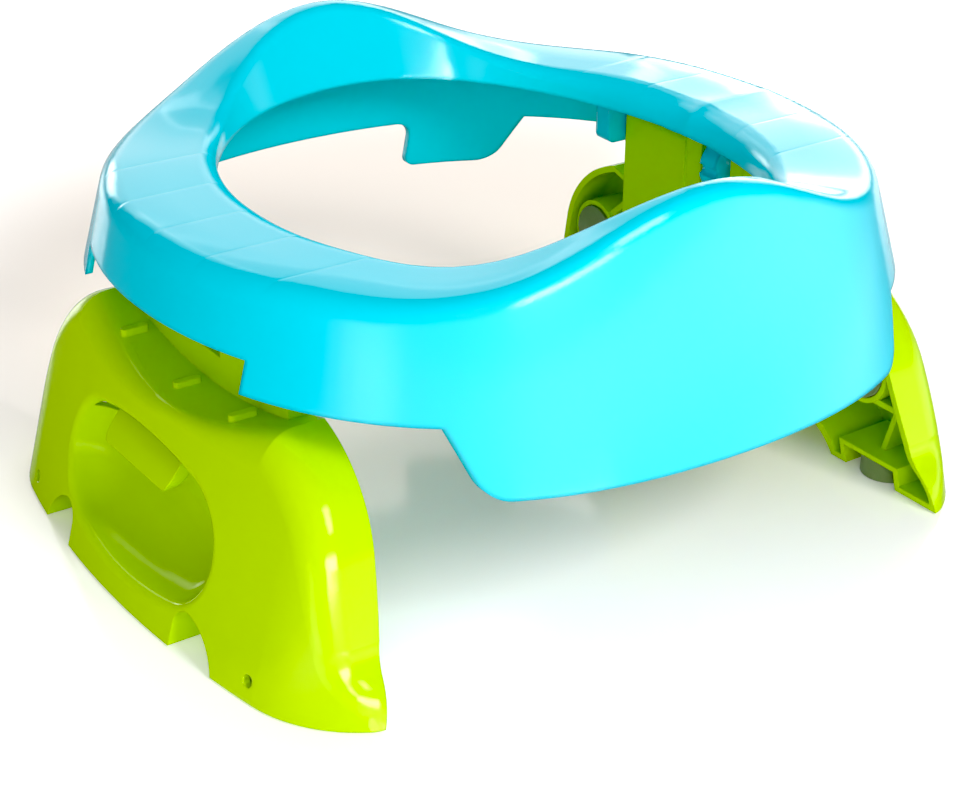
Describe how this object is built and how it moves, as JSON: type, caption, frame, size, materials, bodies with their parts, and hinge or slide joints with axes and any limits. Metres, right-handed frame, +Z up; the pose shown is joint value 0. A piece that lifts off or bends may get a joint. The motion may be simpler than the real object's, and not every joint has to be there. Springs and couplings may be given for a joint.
{
  "type": "folding potty chair",
  "caption": "Folding potty chair: moulded seat ring with raised front and rear on two folding legs with latch levers and rubber pads.",
  "frame": {"origin": "on the floor under the middle of the chair", "axes": "+Z up, X from leg to leg, Y from front to rear, with the notched rear panel towards +Y"},
  "size_m": [0.2918, 0.2593, 0.1445],
  "materials": {
    "seat_plastic": "glossy moulded polypropylene",
    "leg_plastic": "glossy moulded polypropylene",
    "pad_rubber": "soft matt elastomer",
    "pin_steel": "bright drawn",
    "spring_steel": "drawn wire"
  },
  "bodies": {
    "seat": {"seat_ring": "seat_plastic", "hinge_pin_right_rear": "pin_steel", "hinge_pin_right_front": "pin_steel", "hinge_pin_left_rear": "pin_steel", "hinge_pin_left_front": "pin_steel"},
    "leg_right": {"leg_shell_right": "leg_plastic", "lever_pin_right": "pin_steel", "grip_pad_right_rear": "pad_rubber", "grip_pad_right_front": "pad_rubber", "foot_pad_right_rear": "pad_rubber", "foot_pad_right_front": "pad_rubber", "lever_spring_right": "spring_steel"},
    "lever_right": {"latch_lever_right": "leg_plastic"},
    "leg_left": {"leg_shell_left": "leg_plastic", "lever_pin_left": "pin_steel", "grip_pad_left_rear": "pad_rubber", "grip_pad_left_front": "pad_rubber", "foot_pad_left_rear": "pad_rubber", "foot_pad_left_front": "pad_rubber", "lever_spring_left": "spring_steel"},
    "lever_left": {"latch_lever_left": "leg_plastic"}
  },
  "joints": [
    {"name": "leg_right_fold", "type": "hinge", "parent": "seat", "child": "leg_right", "pos_m": [0.105, 0, 0.0944], "axis": [0, -1, 0], "range_deg": [-90, 90]},
    {"name": "lever_right_pull", "type": "hinge", "parent": "leg_right", "child": "lever_right", "pos_m": [0.1205, 0, 0.058], "axis": [0, -1, 0], "range_deg": [0, 10], "stiffness_Nm_per_rad": 0.05, "springref_deg": -5.73},
    {"name": "leg_left_fold", "type": "hinge", "parent": "seat", "child": "leg_left", "pos_m": [-0.105, 0, 0.0944], "axis": [0, 1, 0], "range_deg": [-90, 90]},
    {"name": "lever_left_pull", "type": "hinge", "parent": "leg_left", "child": "lever_left", "pos_m": [-0.1205, 0, 0.058], "axis": [0, 1, 0], "range_deg": [0, 10], "stiffness_Nm_per_rad": 0.05, "springref_deg": -5.73}
  ]
}
